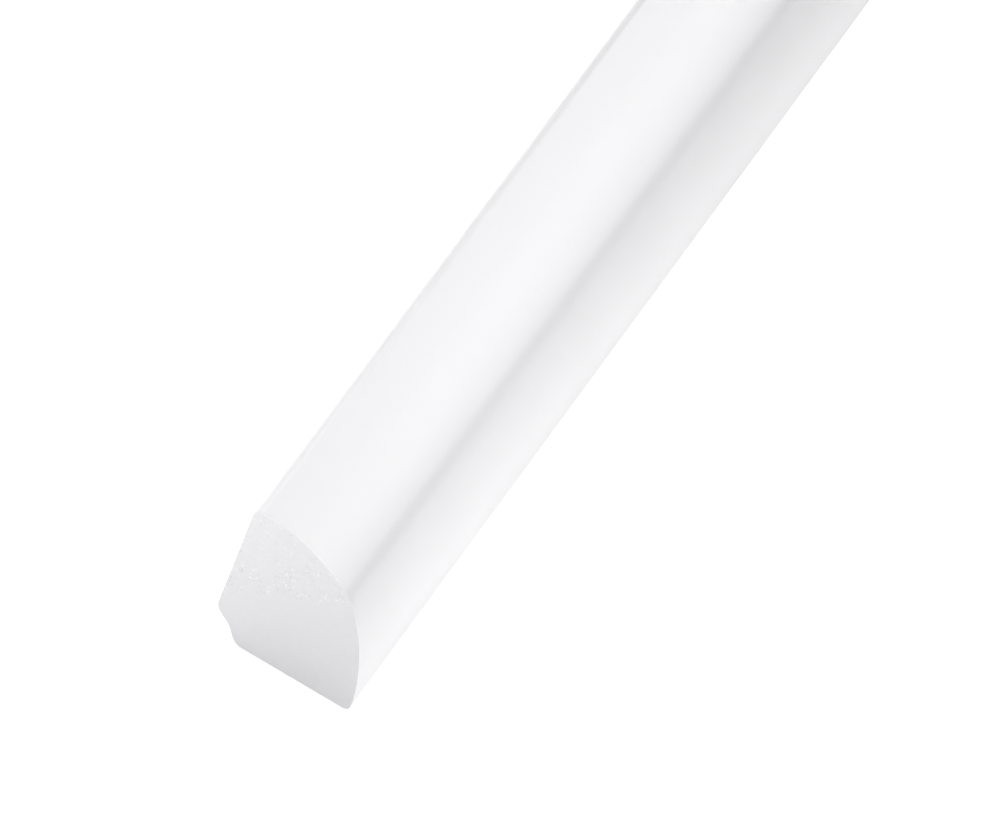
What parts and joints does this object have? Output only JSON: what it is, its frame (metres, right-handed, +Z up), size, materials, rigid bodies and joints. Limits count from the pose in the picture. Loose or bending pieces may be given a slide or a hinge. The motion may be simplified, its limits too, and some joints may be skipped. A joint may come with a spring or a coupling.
{
  "type": "quarter round moulding",
  "caption": "Quarter round moulding: two flat legs at a right angle, a swelling curved face, soft tips, a relieved back corner and square sawn ends.",
  "frame": {"origin": "on the floor leg's plane, under the middle of the bounding box", "axes": "+Y along the moulding, +Z up the wall leg, +X from the wall outwards over the floor"},
  "size_m": [0.0159, 0.12, 0.019],
  "materials": {
    "white_cellular_pvc": "white cellular PVC, satin extruded skin, fine open cells on the sawn ends"
  },
  "bodies": {
    "root": {"moulding": "white_cellular_pvc"}
  },
  "joints": []
}
